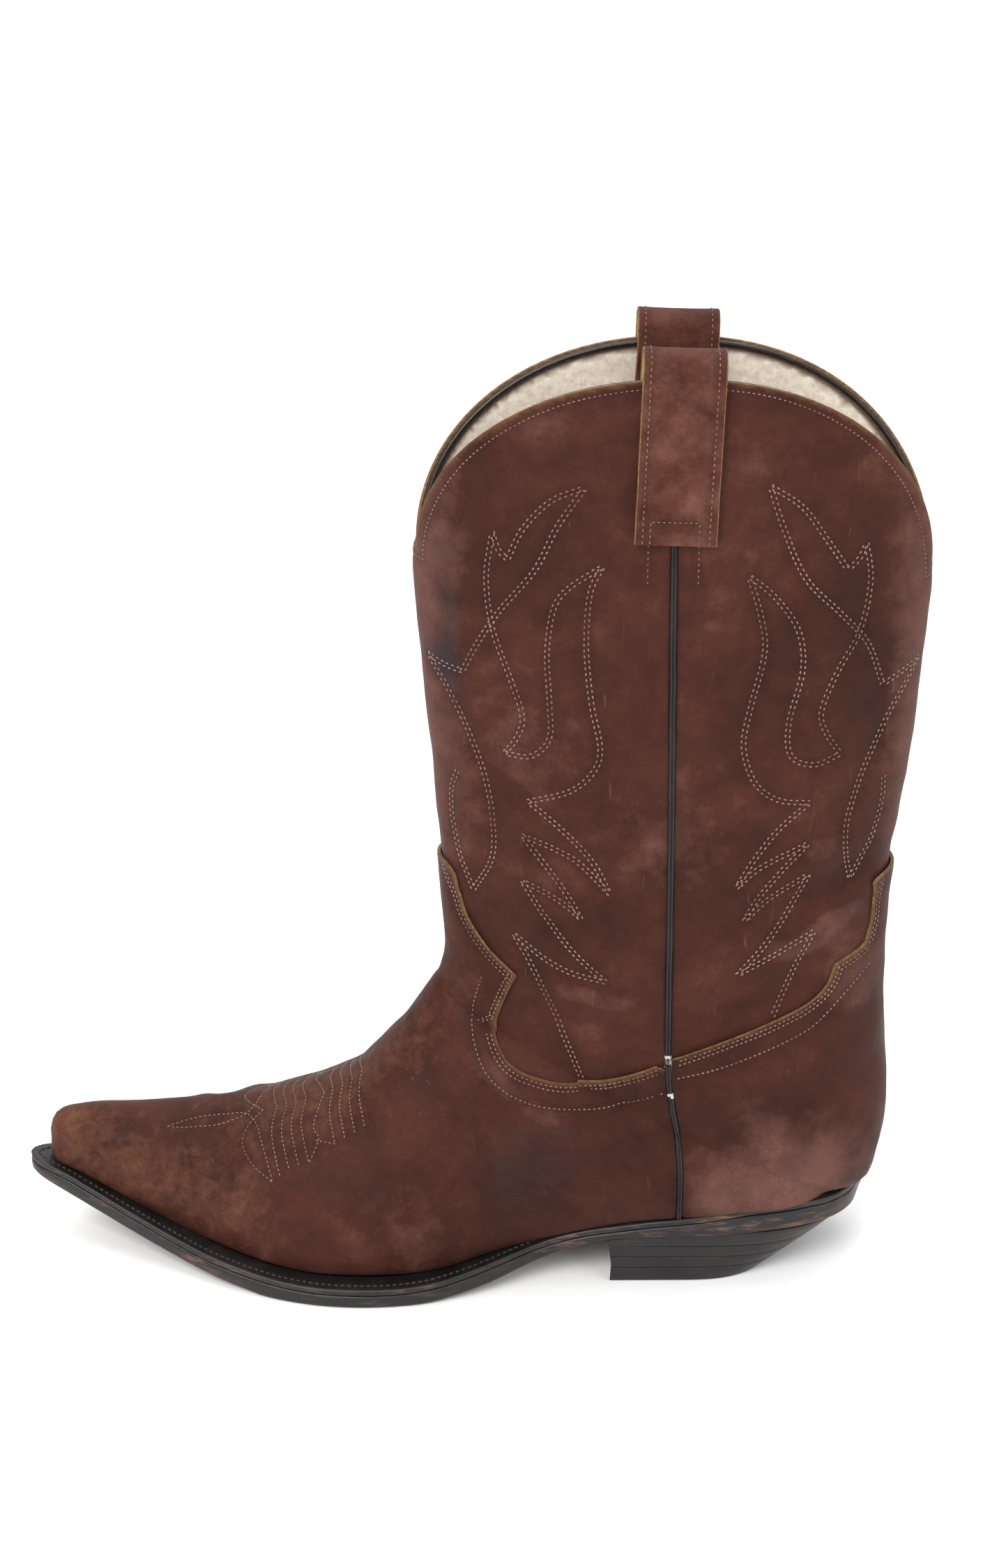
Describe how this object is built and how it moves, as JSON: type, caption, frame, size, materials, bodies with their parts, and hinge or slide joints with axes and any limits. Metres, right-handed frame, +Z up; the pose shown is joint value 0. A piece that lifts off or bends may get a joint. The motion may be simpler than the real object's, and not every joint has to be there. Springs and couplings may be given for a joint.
{
  "type": "cowboy boot",
  "caption": "Western boot for one foot: scalloped shaft with pull straps and side seams, pointed welted toe and an underslung stacked heel.",
  "frame": {"origin": "centre of the heel's flat walking face, on the ground", "axes": "+Z up along the shaft, -X towards the toe, -Y towards the boot's outer (lateral) side"},
  "size_m": [0.3147, 0.095, 0.3484],
  "materials": {
    "nubuck": "matt nubuck",
    "lining_leather": "brushed, napped",
    "strap_lining": "smooth natural",
    "piping": "semi gloss",
    "board": "unfinished",
    "cork": "granular",
    "sole_leather": "dyed and burnished edge",
    "rubber": "matt",
    "steel": "plain"
  },
  "bodies": {
    "boot": {"vamp": "nubuck", "heel_cover": "nubuck", "front_shaft_panel": "nubuck", "back_shaft_panel": "nubuck", "toe_box": "board", "vamp_interlining": "board", "counter_stiffener": "board", "vamp_lining": "lining_leather", "front_shaft_lining": "lining_leather", "back_shaft_lining": "lining_leather", "shaft_piping_outer": "piping", "foot_piping_outer": "piping", "shaft_piping_inner": "piping", "foot_piping_inner": "piping", "top_bead_front": "piping", "top_bead_back": "piping", "outsole": "sole_leather", "welt": "sole_leather", "heel_rand": "sole_leather", "cork_filler": "cork", "steel_shank": "steel", "insole": "board", "heel_sock": "lining_leather", "top_lift": "rubber", "heel_lift_1": "sole_leather", "heel_lift_2": "sole_leather", "heel_wedge": "sole_leather", "heel_nail_1": "steel", "heel_nail_2": "steel", "heel_nail_3": "steel", "heel_nail_4": "steel", "heel_nail_5": "steel", "top_lift_nail_1": "steel", "top_lift_nail_2": "steel", "top_lift_nail_3": "steel", "top_lift_nail_4": "steel", "top_lift_nail_5": "steel"},
    "pull_strap_outer": {"pull_strap_outer": "nubuck", "pull_strap_lining_outer": "strap_lining"},
    "pull_strap_inner": {"pull_strap_inner": "nubuck", "pull_strap_lining_inner": "strap_lining"}
  },
  "joints": [
    {"name": "pull_strap_outer_flex", "type": "hinge", "parent": "boot", "child": "pull_strap_outer", "pos_m": [-0.0115, -0.0262, 0.284], "axis": [1, 0, 0], "range_deg": [-0.8, 3]},
    {"name": "pull_strap_inner_flex", "type": "hinge", "parent": "boot", "child": "pull_strap_inner", "pos_m": [-0.0115, 0.0262, 0.284], "axis": [-1, 0, 0], "range_deg": [-0.8, 3]}
  ]
}
